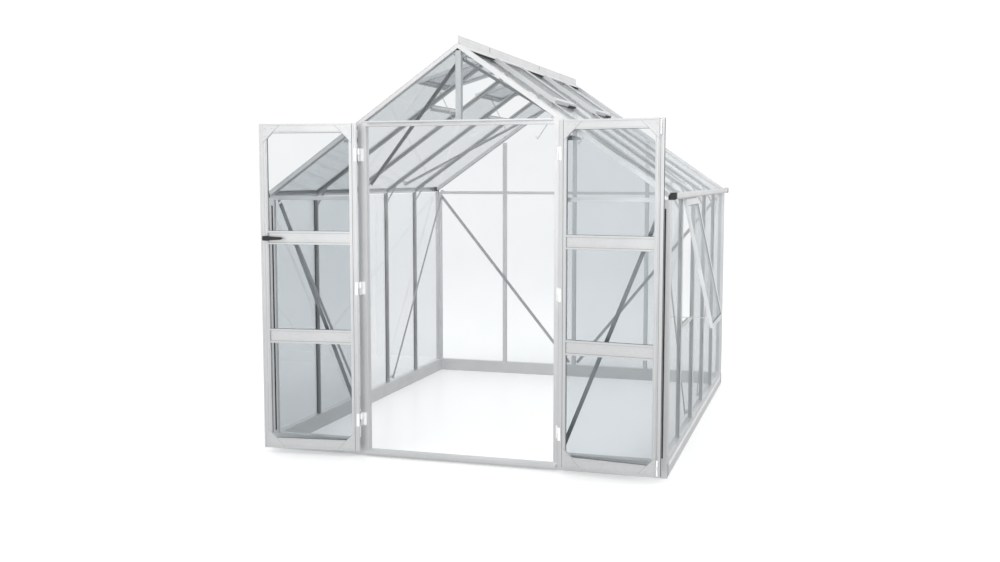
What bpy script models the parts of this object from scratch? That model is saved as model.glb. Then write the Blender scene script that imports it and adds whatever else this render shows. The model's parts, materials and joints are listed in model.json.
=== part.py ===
"""A walk-in aluminium greenhouse with a pitched glass roof.

Five bays long and four bays wide at the back, with double swing doors in the front gable,
four hinged roof vents and one top-hinged side window, all on a low base frame.
Metres, +Z up, +X to the right of someone facing the doors, +Y from the doors to the back wall.
The origin is under the middle of the door threshold.
"""
import math

import bmesh
import bpy
from mathutils import Matrix, Vector

# Driving dimensions
BAY = 0.622                                # spacing of the glazing bars along the house
BAYS = 5
BAR_WIDTH = 0.020                          # width of a glazing bar across the glass
LENGTH = BAYS * BAY + BAR_WIDTH
HALF_WIDTH = 1.283                         # centre line to the outer face of a corner post
APEX = 2.552                               # height of the roof's outer plane at the ridge
ROOF_TAN = 0.697                           # rise over run of the roof
PITCH = math.atan(ROOF_TAN)
RIDGE_TOP = 2.595                          # top edge of the ridge's upright fin
EAVE = 1.6235                              # underside of the gutters, top of the corner posts

BASE_HEIGHT = 0.100
BASE_DEPTH = 0.050
BASE_STEP = 0.055                          # height of the base's wider foot
POST = 0.046                               # width of a corner post and depth of the end frames
POST_WALL = 0.022
THRESHOLD = 0.035
GAP = 0.0003                               # clearance between touching pieces

GLASS = 0.004
WALL_GLASS = 1.262                         # inner face of the side walls' glass
END_GLASS_INSET = 0.004                    # from the end face to the end glass
ROOF_GLASS_DEPTH = 0.022                   # from the roof's outer plane to the glass
BAR_DEPTH = 0.034
RAFTER_DEPTH = 0.027
STRIP = 0.004                              # thickness of braces and stays
BRACE_WIDTH = 0.025

DOOR_OPENING = 0.600                       # half the clear width of the doorway
DOOR_POST = 0.055
DOOR_HEAD = 2.063                          # underside of the door header
HEAD_TOP = 2.0945
DOOR_LOW = 0.037
DOOR_HIGH = 2.083
LEAF = 0.610                               # width of one door leaf
LEAF_NEAR = 0.003                          # outer face of a leaf behind the hinge axis
LEAF_FAR = 0.028                           # inner face of a leaf behind the hinge axis
LEAF_START = 0.023                         # hinge axis to the leaf's hinge edge
STILE_HINGE = 0.030                        # width of a leaf's upright beside the hinges
STILE_FREE = 0.050                         # width of its upright at the closing edge
RAIL_EDGES = (DOOR_LOW, 0.100, 0.712, 0.800, 1.334, 1.418, 2.026, DOOR_HIGH)
PANE_HOLD = 0.011                          # how far a door pane reaches behind the leaf's frame
LEVER_ROOM = 0.007                         # how much less it reaches beside the lever's spindle
HINGE_X = 0.637
HINGE_OUT = 0.031                          # hinge axis in front of the end frame
HINGE_HEIGHTS = (0.234, 1.063, 1.890)
HINGE_HALF = 0.040
KNUCKLE = 0.0065
DOOR_OPEN = math.radians(172.8)
LEVER_HEIGHT = 1.373
LEVER_INSET = 0.036                        # spindle to the leaf's closing edge
BOLT_INSET = 0.018                         # bolt to the leaf's closing edge
FLANGE = (0.005, 0.0125, 0.0250)           # hinge flange: its edge, near face and far face from the axis

VENT_BAYS = (1, 3)                         # bays, counted from zero at the doors, with roof vents
VENT_AXIS = 0.0465                         # ridge line to a vent's hinge axis, down the slope
VENT_LENGTH = 0.494
VENT_HALF = 0.299
VENT_OPEN = {"left": math.radians(19.0), "right": 0.0}
VENT_STAY = 0.280
STAY_REACH = 0.4595                        # hinge axis to the stay's pivot
STAY_DROP = 0.026
STAY_TILT = math.radians(0.6)              # a stay's lean when its vent is closed
STAY_RATIO = -0.57                         # a stay's turn for each turn of its vent

WINDOW_BAY = 1
WINDOW_HALF = 0.291
WINDOW_DROP = 0.827
WINDOW_DEPTH = 0.022
WINDOW_TOP = 1.617
WINDOW_OPEN = math.radians(12.5)
WINDOW_STAY = 0.300

FRONT = -BASE_DEPTH / 2
REAR = FRONT + LENGTH
SIDES = {"left": -1, "right": 1}


def bar_y(number):
    """Middle of a glazing bar, counted from zero at the front."""
    return FRONT + BAR_WIDTH / 2 + number * BAY


def bay_y(number):
    """Middle of a bay, counted from zero at the front."""
    return bar_y(number) + BAY / 2


def roof_z(x, depth):
    """Height at x of the plane that lies a depth under the roof's outer plane."""
    return APEX - depth / math.cos(PITCH) - ROOF_TAN * abs(x)


def slope(side, along, down, depth):
    """A point on one roof slope, from its place along the house and down from the ridge."""
    x = down * math.cos(PITCH) - depth * math.sin(PITCH)
    z = APEX - down * math.sin(PITCH) - depth * math.cos(PITCH)
    return Vector((SIDES[side] * x, along, z))


def material(name, colour, roughness, metallic, alpha=1.0):
    made = bpy.data.materials.new(name)
    made.use_nodes = True
    shader = made.node_tree.nodes["Principled BSDF"]
    shader.inputs["Base Color"].default_value = (*colour, 1.0)
    shader.inputs["Roughness"].default_value = roughness
    shader.inputs["Metallic"].default_value = metallic
    shader.inputs["Alpha"].default_value = alpha
    made.diffuse_color = (*colour, alpha)
    return made


def make(name, mesh, look):
    """Turn a bmesh into an object whose faces point outwards."""
    bmesh.ops.recalc_face_normals(mesh, faces=mesh.faces)
    data = bpy.data.meshes.new(name)
    mesh.to_mesh(data)
    mesh.free()
    data.materials.append(look)
    made = bpy.data.objects.new(name, data)
    bpy.context.collection.objects.link(made)
    return made


ORDERS = {
    "X": lambda a, b, c: (c, a, b),
    "Y": lambda a, b, c: (a, c, b),
    "Z": lambda a, b, c: (a, b, c),
}


def prism(name, outline, axis, start, end, look):
    """A closed outline carried straight along one axis."""
    place = ORDERS[axis]
    mesh = bmesh.new()
    low = [mesh.verts.new(place(a, b, start)) for a, b in outline]
    high = [mesh.verts.new(place(a, b, end)) for a, b in outline]
    mesh.faces.new(low)
    mesh.faces.new(high)
    for i in range(len(outline)):
        mesh.faces.new((low[i - 1], low[i], high[i], high[i - 1]))
    return make(name, mesh, look)


def block(name, low, high, look):
    """A box between two corners."""
    outline = [(low[0], low[1]), (high[0], low[1]), (high[0], high[1]), (low[0], high[1])]
    return prism(name, outline, "Z", low[2], high[2], look)


def lattice(name, columns, rows, solid, near, far, place, look):
    """A flat frame on a grid: solid(column, row) says which cells are filled."""
    mesh = bmesh.new()
    corners = {}

    def corner(i, j, level):
        if (i, j, level) not in corners:
            corners[i, j, level] = mesh.verts.new(place(columns[i], rows[j], level))
        return corners[i, j, level]

    cells = [(i, j) for i in range(len(columns) - 1) for j in range(len(rows) - 1) if solid(i, j)]
    for i, j in cells:
        ring = [(i, j), (i + 1, j), (i + 1, j + 1), (i, j + 1)]
        for level in (near, far):
            mesh.faces.new([corner(a, b, level) for a, b in ring])
        neighbours = [(i, j - 1), (i + 1, j), (i, j + 1), (i - 1, j)]
        for edge, neighbour in enumerate(neighbours):
            if neighbour in cells:
                continue
            a, b = ring[edge], ring[(edge + 1) % 4]
            mesh.faces.new((corner(*a, near), corner(*b, near), corner(*b, far), corner(*a, far)))
    return make(name, mesh, look)


def combine(target, tool, operation):
    """Join a tool to a piece, or cut it out, and remove the tool."""
    modifier = target.modifiers.new(operation, "BOOLEAN")
    modifier.operation = operation
    modifier.solver = "EXACT"
    modifier.object = tool
    bpy.context.view_layer.update()
    evaluated = target.evaluated_get(bpy.context.evaluated_depsgraph_get())
    result = bpy.data.meshes.new_from_object(evaluated)
    target.modifiers.remove(modifier)
    target.data = result
    bpy.data.objects.remove(tool)
    return target


def strip(name, start, end, width, facing, thickness, look):
    """A flat bar from one point to another, its thickness along the facing direction."""
    start, end, facing = Vector(start), Vector(end), Vector(facing).normalized()
    run = (end - start).normalized()
    across = facing.cross(run).normalized() * width / 2
    mesh = bmesh.new()
    ring = (start - across, start + across, end + across, end - across)
    low = [mesh.verts.new(point) for point in ring]
    high = [mesh.verts.new(point + facing * thickness) for point in ring]
    mesh.faces.new(low)
    mesh.faces.new(high)
    for i in range(4):
        mesh.faces.new((low[i - 1], low[i], high[i], high[i - 1]))
    return make(name, mesh, look)


def tube(name, centre, radius, low, high, look, sides=12):
    """A round upright piece with a smooth side."""
    turns = [2 * math.pi * i / sides for i in range(sides)]
    outline = [(centre[0] + radius * math.cos(t), centre[1] + radius * math.sin(t)) for t in turns]
    made = prism(name, outline, "Z", low, high, look)
    made.data.shade_smooth()
    made.data.set_sharp_from_angle(angle=math.radians(40))
    return made


def pivot(name, place, turn, axis, parent=None):
    """An empty on a joint's axis that holds the pieces which turn with it."""
    made = bpy.data.objects.new(name, None)
    bpy.context.collection.objects.link(made)
    made.parent = parent
    made.matrix_local = Matrix.Translation(place) @ Matrix.Rotation(turn, 4, axis)
    return made


def make_base(alloy):
    """The four base rails, the front one dropping to a low threshold in the doorway."""
    door = DOOR_OPENING + DOOR_POST + GAP
    outline = [
        (-HALF_WIDTH, 0), (HALF_WIDTH, 0), (HALF_WIDTH, BASE_HEIGHT), (door, BASE_HEIGHT),
        (door, THRESHOLD), (-door, THRESHOLD), (-door, BASE_HEIGHT), (-HALF_WIDTH, BASE_HEIGHT),
    ]
    front = prism("base_front", outline, "Y", FRONT, FRONT + BASE_DEPTH, alloy)
    nosing = block("nosing", (-0.62, FRONT - 0.030, 0.020), (0.62, FRONT + 0.010, THRESHOLD), alloy)
    combine(front, nosing, "UNION")
    combine(front, bolt_hole("hole", 0.012, THRESHOLD + 0.010, alloy), "DIFFERENCE")
    outline = [(-HALF_WIDTH, 0), (HALF_WIDTH, 0), (HALF_WIDTH, BASE_HEIGHT), (-HALF_WIDTH, BASE_HEIGHT)]
    prism("base_rear", outline, "Y", REAR - BASE_DEPTH, REAR, alloy)
    for side, sign in SIDES.items():
        outer, lip, inner = (sign * (HALF_WIDTH - inset) for inset in (0, 0.009, BASE_DEPTH))
        outline = [
            (inner, 0), (outer, 0), (outer, BASE_STEP), (lip, BASE_STEP + 0.006),
            (lip, BASE_HEIGHT), (inner, BASE_HEIGHT),
        ]
        start, end = FRONT + BASE_DEPTH + GAP, REAR - BASE_DEPTH - GAP
        prism(f"base_{side}", outline, "Y", start, end, alloy)


def bolt_hole(name, low, high, look):
    """The square hole that a door bolt shoots into, on the bolt's line when the door is shut."""
    across = HINGE_X - bolt_x()
    depth = FRONT - HINGE_OUT + 0.022
    return block(name, (across - 0.010, depth - 0.008, low), (across + 0.010, depth + 0.008, high), look)


def bolt_x():
    """A bolt's distance from its door's hinge axis."""
    return LEAF_START + LEAF - BOLT_INSET


def make_corner_posts(alloy):
    for end, face, inward in (("front", FRONT, 1), ("rear", REAR, -1)):
        for side, sign in SIDES.items():
            outer = sign * HALF_WIDTH
            inner = sign * (HALF_WIDTH - POST)
            leg = sign * (HALF_WIDTH - POST_WALL)
            outline = [
                (inner, face), (outer, face), (outer, face + inward * POST), (leg, face + inward * POST),
                (leg, face + inward * POST_WALL), (inner, face + inward * POST_WALL),
            ]
            prism(f"corner_post_{end}_{side}", outline, "Z", BASE_HEIGHT + GAP, EAVE - GAP, alloy)


def make_gutters(alloy):
    """Open channels along both eaves, with the inner wall low enough to pass under the glass."""
    inner, outer, wall = 1.272, 1.314, 0.003
    floor, brim, lip = EAVE + wall, 1.664, EAVE + 0.005
    for side, sign in SIDES.items():
        section = [
            (inner, EAVE), (outer, EAVE), (outer, brim), (outer - wall, brim),
            (outer - wall, floor), (inner + wall, floor), (inner + wall, lip), (inner, lip),
        ]
        outline = [(sign * x, z) for x, z in section]
        prism(f"gutter_{side}", outline, "Y", FRONT, REAR, alloy)


def make_ridge(alloy):
    """The ridge beam: a web under the apex, two wings over the glass and an upright fin."""
    fin, web, tip = 0.003, 0.012, 0.0345
    half = [
        (fin, RIDGE_TOP), (fin, roof_z(fin, 0.003)), (tip, roof_z(tip, 0.003)),
        (tip, roof_z(tip, 0.008)), (web, roof_z(web, 0.008)), (web, 2.485),
    ]
    outline = half + [(-x, z) for x, z in reversed(half)]
    beam = prism("ridge_beam", outline, "Y", FRONT + POST + GAP, REAR - POST - GAP, alloy)
    cap = block("cap", (-fin, FRONT + 0.012, APEX + 2 * GAP), (fin, REAR - 0.012, RIDGE_TOP), alloy)
    combine(beam, cap, "UNION")


def make_rafters(alloy):
    """The sloping edges of each gable, joined at the apex."""
    foot = 1.2705
    outline = [
        (-foot, roof_z(foot, 0)), (0, APEX), (foot, roof_z(foot, 0)),
        (foot, roof_z(foot, RAFTER_DEPTH)), (0, roof_z(0, RAFTER_DEPTH)), (-foot, roof_z(foot, RAFTER_DEPTH)),
    ]
    prism("front_rafters", outline, "Y", FRONT, FRONT + POST, alloy)
    prism("rear_rafters", outline, "Y", REAR - POST, REAR, alloy)


def make_door_frame(alloy, enamel):
    """Both door posts and the header, with the fixed halves of the hinges."""
    under = RAFTER_DEPTH + GAP
    outer = DOOR_OPENING + DOOR_POST
    shoulder = (roof_z(0, under) - HEAD_TOP) / ROOF_TAN
    half = [
        (DOOR_OPENING, DOOR_HEAD), (DOOR_OPENING, THRESHOLD + GAP), (outer, THRESHOLD + GAP),
        (outer, roof_z(outer, under)), (shoulder, HEAD_TOP),
    ]
    outline = half + [(-x, z) for x, z in reversed(half)]
    frame = prism("door_frame", outline, "Y", FRONT, FRONT + POST, alloy)
    drip = block("drip", (-0.590, FRONT - 0.030, 2.0855), (0.590, FRONT + 0.010, HEAD_TOP), alloy)
    combine(frame, drip, "UNION")
    combine(frame, bolt_hole("hole", 2.080, HEAD_TOP + 0.010, alloy), "DIFFERENCE")
    for sign in SIDES.values():
        axis_x, axis_y = sign * HINGE_X, FRONT - HINGE_OUT
        for height in HINGE_HEIGHTS:
            low, high = height - HINGE_HALF, height - GAP
            edges = sorted((sign * 0.6145, sign * outer))
            plate_low = (edges[0], FRONT - 0.0022, low)
            plate_high = (edges[1], FRONT + 0.002, height + HINGE_HALF)
            combine(frame, block("plate", plate_low, plate_high, enamel), "UNION")
            arm_low = (axis_x - 0.004, axis_y, low)
            arm_high = (axis_x + 0.004, FRONT + 0.002, high)
            knuckle = tube("knuckle", (axis_x, axis_y), KNUCKLE, low, high, enamel)
            combine(knuckle, block("arm", arm_low, arm_high, enamel), "UNION")
            combine(frame, knuckle, "UNION")


def make_gable_post(alloy):
    half = 0.017
    low, high = (-half, FRONT + 0.010, HEAD_TOP + GAP), (half, FRONT + POST, roof_z(half, RAFTER_DEPTH) - GAP)
    block("gable_post", low, high, alloy)


def make_rib(side, number, alloy):
    """A wall bar and a roof bar joined at the eave by a knee strut."""
    sign = SIDES[side]
    outer, top = WALL_GLASS - GAP, ROOF_GLASS_DEPTH + GLASS + GAP
    inner = outer - BAR_DEPTH
    near, foot = 0.0125, BASE_HEIGHT + GAP
    section = [
        (outer, foot), (outer, roof_z(outer, top)), (near, roof_z(near, top)),
        (near, roof_z(near, top + BAR_DEPTH)), (inner, roof_z(inner, top + BAR_DEPTH)), (inner, foot),
    ]
    outline = [(sign * x, z) for x, z in section]
    middle = bar_y(number)
    rib = prism(f"rib_{side}_{number}", outline, "Y", middle - BAR_WIDTH / 2, middle + BAR_WIDTH / 2, alloy)
    low, high = (sign * 1.240, middle - STRIP / 2, 1.515), (sign * 1.165, middle - STRIP / 2, 1.690)
    combine(rib, strip("knee", low, high, 0.014, (0, 1, 0), STRIP, alloy), "UNION")


def make_rear_frame(alloy):
    """The three back-wall mullions and the tie that crosses them at the eaves."""
    half, quarter, reach = 0.015, 0.635, HALF_WIDTH - POST - 0.001
    columns = [-reach, -quarter - half, -quarter + half, -half, half, quarter - half, quarter + half, reach]
    rows = [BASE_HEIGHT + GAP, 1.603, 1.628, 2.055, 2.495]

    def solid(column, row):
        is_centre, is_mullion = column == 3, column in (1, 3, 5)
        return row == 1 or (is_mullion and (row < 3 or is_centre))

    near, far = REAR - POST, REAR - END_GLASS_INSET - GLASS - GAP
    lattice("rear_frame", columns, rows, solid, near, far, lambda a, b, c: (a, c, b), alloy)


def make_corner_braces(alloy):
    """Two flat braces from the top of each corner post: along the side and across the end."""
    side_face = WALL_GLASS - GAP - BAR_DEPTH - 0.0005
    top, foot = 1.585, 0.125
    ends = (
        ("front", 1, bar_y(2) - 0.025, FRONT + POST + 0.0125, DOOR_OPENING + 0.045),
        ("rear", -1, bar_y(3) + 0.025, REAR - POST - 0.0095, 0.035),
    )
    for end, inward, side_end, end_face, across in ends:
        for side, sign in SIDES.items():
            start_y = end_face + STRIP / 2
            high = (sign * side_face, start_y, top)
            low = (sign * side_face, side_end, foot)
            brace = strip(f"brace_{end}_{side}", high, low, BRACE_WIDTH, (-sign, 0, 0), STRIP, alloy)
            high = (sign * (side_face - STRIP / 2), end_face, top)
            low = (sign * across, end_face, foot)
            combine(brace, strip("end", high, low, BRACE_WIDTH, (0, 1, 0), STRIP, alloy), "UNION")


def make_roof_braces(alloy):
    """A pair of flat braces from each end of the ridge down to the eaves."""
    depth = ROOF_GLASS_DEPTH + GLASS + GAP + BAR_DEPTH + 0.0005
    ends = (("front", FRONT + 0.075, bar_y(2) - 0.030), ("rear", REAR - 0.075, bar_y(3) + 0.030))
    for end, top_y, low_y in ends:
        pieces = []
        for side, sign in SIDES.items():
            inwards = slope(side, 0, 0, 1) - slope(side, 0, 0, 0)
            top = slope(side, top_y, 0.056, depth)
            low = slope(side, low_y, 1.400, depth)
            pieces.append(strip(f"roof_brace_{end}", top, low, BRACE_WIDTH, inwards, STRIP, alloy))
        plate_low = (-0.030, top_y - 0.020, roof_z(0, depth) - 0.0220)
        plate_high = (0.030, top_y + 0.020, roof_z(0, depth) - 0.0060)
        combine(pieces[0], block("plate", plate_low, plate_high, alloy), "UNION")
        combine(pieces[0], pieces[1], "UNION")


def make_fixed_glass(glass):
    """The sheets that close the walls, the gables and the roof."""
    under = RAFTER_DEPTH + GAP
    foot = BASE_HEIGHT + GAP
    start, end = FRONT + POST + GAP, REAR - POST - GAP
    reach = HALF_WIDTH - POST - GAP
    door = DOOR_OPENING + DOOR_POST + GAP
    near, far = FRONT + END_GLASS_INSET, FRONT + END_GLASS_INSET + GLASS
    for side, sign in SIDES.items():
        section = [(door, foot), (reach, foot), (reach, roof_z(reach, under)), (door, roof_z(door, under))]
        outline = [(sign * x, z) for x, z in section]
        prism(f"glass_front_{side}", outline, "Y", near, far, glass)
    sill, edge = HEAD_TOP + GAP, 0.595
    half = [(edge, sill), (edge, roof_z(edge, under))]
    outline = half + [(0, roof_z(0, under))] + [(-x, z) for x, z in reversed(half)]
    prism("glass_gable", outline, "Y", near, far, glass)
    half = [(reach, foot), (reach, roof_z(reach, under))]
    outline = half + [(0, roof_z(0, under))] + [(-x, z) for x, z in reversed(half)]
    prism("glass_rear", outline, "Y", REAR - END_GLASS_INSET - GLASS, REAR - END_GLASS_INSET, glass)

    top = EAVE - 0.004
    block("glass_left", (-WALL_GLASS - GLASS, start, foot), (-WALL_GLASS, end, top), glass)
    middle, cut = bay_y(WINDOW_BAY), WINDOW_HALF - 0.013
    columns = [start, middle - cut, middle + cut, end]
    rows = [foot, WINDOW_TOP - WINDOW_DROP + 0.020, WINDOW_TOP - 0.017, top]
    lattice("glass_right", columns, rows, lambda i, j: (i, j) != (1, 1), WALL_GLASS, WALL_GLASS + GLASS,
            lambda a, b, c: (c, a, b), glass)

    cut = VENT_HALF - 0.020
    columns = [start]
    for number in VENT_BAYS:
        columns += [bay_y(number) - cut, bay_y(number) + cut]
    columns.append(end)
    rows = [0.034, 0.060, 0.522, 1.295 / math.cos(PITCH)]
    for side in SIDES:
        lattice(f"glass_roof_{side}", columns, rows, lambda i, j: j != 1 or i % 2 == 0,
                ROOF_GLASS_DEPTH, ROOF_GLASS_DEPTH + GLASS,
                lambda a, b, c, side=side: slope(side, a, b, c), glass)


def make_door(side, alloy, enamel, glass):
    """One door leaf and its glass, drawn shut in its hinge's frame and then swung open."""
    sign = SIDES[side]
    far_edge = LEAF_START + LEAF
    opening = (LEAF_START + STILE_HINGE, far_edge - STILE_FREE)
    columns = [-sign * x for x in (LEAF_START, *opening, far_edge)]
    frame_near = LEAF_NEAR + GLASS + GAP
    leaf = lattice(f"door_{side}", columns, RAIL_EDGES, lambda i, j: i != 1 or j % 2 == 0, frame_near, LEAF_FAR,
                   lambda a, b, c: (a, c, b), alloy)
    edge, near, far = FLANGE
    reach = sorted((-sign * edge, -sign * (LEAF_START + 0.002)))
    flange = block("flange", (reach[0], near, DOOR_LOW), (reach[1], far, DOOR_HIGH), alloy)
    combine(leaf, flange, "UNION")
    for height in HINGE_HEIGHTS:
        low, high = height + GAP, height + HINGE_HALF
        tab = [-sign * x for x in (0.0, LEAF_START + 0.003)]
        plate = [-sign * x for x in (LEAF_START - 0.0025, LEAF_START + 0.003)]
        knuckle = tube("knuckle", (0, 0), KNUCKLE, low, high, enamel)
        combine(knuckle, block("tab", (min(tab), 0.0015, low), (max(tab), 0.0050, high), enamel), "UNION")
        wrap = block("plate", (min(plate), 0.0015, low), (max(plate), 0.0270, high), enamel)
        combine(knuckle, wrap, "UNION")
        combine(leaf, knuckle, "UNION")
    pane = [-sign * x for x in (opening[0] - PANE_HOLD, opening[1] + PANE_HOLD - LEVER_ROOM)]
    pane_low = (min(pane), LEAF_NEAR, RAIL_EDGES[1] - PANE_HOLD)
    pane_high = (max(pane), LEAF_NEAR + GLASS, RAIL_EDGES[-2] + PANE_HOLD)
    sheet = block(f"door_glass_{side}", pane_low, pane_high, glass)
    hinge = pivot(f"door_hinge_{side}", (sign * HINGE_X, FRONT - HINGE_OUT, 0), sign * DOOR_OPEN, "Z")
    sheet.parent = hinge
    return leaf, hinge


def make_lever(leaf, hinge, alloy, plastic):
    """The lever handle on the left door, on a spindle through the stile."""
    middle = LEAF_START + LEAF - LEVER_INSET
    hole_low = (middle - 0.007, 0, LEVER_HEIGHT - 0.007)
    hole_high = (middle + 0.007, 0.040, LEVER_HEIGHT + 0.007)
    hole = block("hole", hole_low, hole_high, alloy)
    combine(leaf, hole, "DIFFERENCE")
    centre = Vector((middle, (LEAF_NEAR + LEAF_FAR) / 2, LEVER_HEIGHT))
    turns = [2 * math.pi * i / 16 for i in range(16)]
    round_bar = [(0.006 * math.cos(turn), 0.006 * math.sin(turn)) for turn in turns]
    spindle = prism("door_lever", round_bar, "Y", -0.042, 0.042, plastic)
    for near, far in ((-0.042, -0.030), (0.030, 0.042)):
        arm = [(0.012, -0.011), (0.012, 0.011), (-0.100, 0.009), (-0.112, 0.002),
               (-0.112, -0.004), (-0.100, -0.009)]
        combine(spindle, prism("arm", arm, "Y", near, far, plastic), "UNION")
    for near, far in ((-0.0145, -0.0128), (0.0128, 0.0145)):
        rose = block("rose", (-0.013, near, -0.018), (0.013, far, 0.018), plastic)
        combine(spindle, rose, "UNION")
    spindle.parent = hinge
    spindle.location = centre
    leaf.parent = hinge


def make_bolts(leaf, hinge, alloy, enamel):
    """The two shoot bolts in grooves of the right door's closing stile."""
    middle = -bolt_x()
    near, far = 0.0160, 0.0275
    for name, low, high, groove_low, groove_high in (
            ("door_bolt_top", 1.991, 2.074, 1.985, DOOR_HIGH + 0.010),
            ("door_bolt_bottom", 0.046, 0.138, DOOR_LOW - 0.010, 0.165)):
        groove = block("groove", (middle - 0.0080, near - 0.0005, groove_low),
                       (middle + 0.0080, LEAF_FAR + 0.010, groove_high), alloy)
        combine(leaf, groove, "DIFFERENCE")
        half = (high - low) / 2
        bolt = block(name, (-0.0060, near - 0.0220, -half), (0.0060, far - 0.0220, half), enamel)
        grip = block("grip", (-0.0050, far - 0.0230, -0.010), (0.0050, far - 0.0120, 0.010), enamel)
        combine(bolt, grip, "UNION")
        bolt.parent = hinge
        bolt.location = (middle, 0.0220, (low + high) / 2)
    leaf.parent = hinge


def make_vent(side, number, alloy, glass):
    """A roof vent, its pane and its peg stay, hinged at the ridge."""
    sign = SIDES[side]
    opened = VENT_OPEN[side]
    label = f"{side}_{VENT_BAYS.index(number) + 1}"
    place = slope(side, bay_y(number), VENT_AXIS, 0)
    hinge = pivot(f"vent_hinge_{label}", place, sign * (PITCH - opened), "Y")
    columns = [sign * x for x in (0.003, 0.027, VENT_LENGTH - 0.040, VENT_LENGTH)]
    rows = [-VENT_HALF, -VENT_HALF + 0.026, VENT_HALF - 0.026, VENT_HALF]
    frame = lattice(f"vent_{label}", columns, rows, lambda i, j: (i, j) != (1, 1), -0.020, 0.004,
                    lambda a, b, c: (a, b, c), alloy)
    across = [columns[1] + sign * GAP, columns[2] - sign * GAP]
    pane_low, pane_high = (min(across), rows[1] + GAP, -0.012), (max(across), rows[2] - GAP, -0.008)
    pane = block(f"vent_glass_{label}", pane_low, pane_high, glass)
    frame.parent = hinge
    pane.parent = hinge

    lean = STAY_TILT + STAY_RATIO * opened
    pin = (sign * STAY_REACH, 0, -STAY_DROP)
    stay_hinge = pivot(f"vent_stay_hinge_{label}", pin, -sign * lean, "Y", hinge)
    stay = block(f"vent_stay_{label}", (-STRIP / 2, -0.007, -VENT_STAY), (STRIP / 2, 0.007, 0.004), alloy)
    foot = [(-STRIP / 2, -VENT_STAY), (-STRIP / 2, -VENT_STAY + STRIP), (-0.020, -VENT_STAY + STRIP + 0.006),
            (-0.020, -VENT_STAY + 0.006)]
    grip = prism("grip", [(sign * x, z) for x, z in foot], "Y", -0.0069, 0.0069, alloy)
    combine(stay, grip, "UNION")
    stay.parent = stay_hinge


def make_window(alloy, glass):
    """The top-hinged side window, its pane and its stay."""
    outer = WALL_GLASS + GLASS + 0.0005 + WINDOW_DEPTH
    hinge = pivot("window_hinge", (outer, bay_y(WINDOW_BAY), WINDOW_TOP), -WINDOW_OPEN, "Y")
    columns = [-WINDOW_HALF, -WINDOW_HALF + 0.030, WINDOW_HALF - 0.030, WINDOW_HALF]
    rows = [-WINDOW_DROP, -WINDOW_DROP + 0.034, -0.042, 0]
    frame = lattice("side_window", columns, rows, lambda i, j: (i, j) != (1, 1), -WINDOW_DEPTH, 0,
                    lambda a, b, c: (c, a, b), alloy)
    pane = block("side_window_glass", (-0.013, columns[1] + GAP, rows[1] + GAP),
                 (-0.009, columns[2] - GAP, rows[2] - GAP), glass)
    frame.parent = hinge
    pane.parent = hinge
    pin = (-WINDOW_DEPTH - 0.008, 0, -WINDOW_DROP + 0.032)
    stay_hinge = pivot("window_stay_hinge", pin, WINDOW_OPEN, "Y", hinge)
    stay = block("side_window_stay", (-WINDOW_STAY, -0.007, -STRIP / 2), (0.004, 0.007, STRIP / 2), alloy)
    foot = [(-WINDOW_STAY, -STRIP / 2), (-WINDOW_STAY + STRIP, -STRIP / 2), (-WINDOW_STAY + STRIP, -0.020),
            (-WINDOW_STAY, -0.020)]
    combine(stay, prism("grip", foot, "Y", -0.0069, 0.0069, alloy), "UNION")
    stay.parent = stay_hinge


def main():
    for old in list(bpy.data.objects):
        bpy.data.objects.remove(old)
    alloy = material("aluminium", (0.80, 0.81, 0.82), 0.35, 0.85)
    enamel = material("white_enamel", (0.90, 0.90, 0.90), 0.40, 0.0)
    plastic = material("black_plastic", (0.02, 0.02, 0.02), 0.45, 0.0)
    glass = material("glass", (0.72, 0.78, 0.80), 0.03, 0.0, 0.35)

    make_base(alloy)
    make_corner_posts(alloy)
    make_gutters(alloy)
    make_ridge(alloy)
    make_rafters(alloy)
    make_door_frame(alloy, enamel)
    make_gable_post(alloy)
    for side in SIDES:
        for number in range(1, BAYS):
            make_rib(side, number, alloy)
    make_rear_frame(alloy)
    make_corner_braces(alloy)
    make_roof_braces(alloy)
    make_fixed_glass(glass)

    left_leaf, left_hinge = make_door("left", alloy, enamel, glass)
    right_leaf, right_hinge = make_door("right", alloy, enamel, glass)
    make_lever(left_leaf, left_hinge, alloy, plastic)
    make_bolts(right_leaf, right_hinge, alloy, enamel)
    for side in SIDES:
        for number in VENT_BAYS:
            make_vent(side, number, alloy, glass)
    make_window(alloy, glass)


main()
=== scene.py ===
"""The looks of a walk-in aluminium greenhouse: materials, profiles, panes, seals and fasteners.

Every piece is placed in the CAD model's frame: metres, +Z up, +X to the right of someone facing
the doors, +Y from the doors to the back wall, origin under the middle of the door threshold.
"""
import json
import math

import bmesh
import bpy
from mathutils import Matrix, Vector


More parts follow.
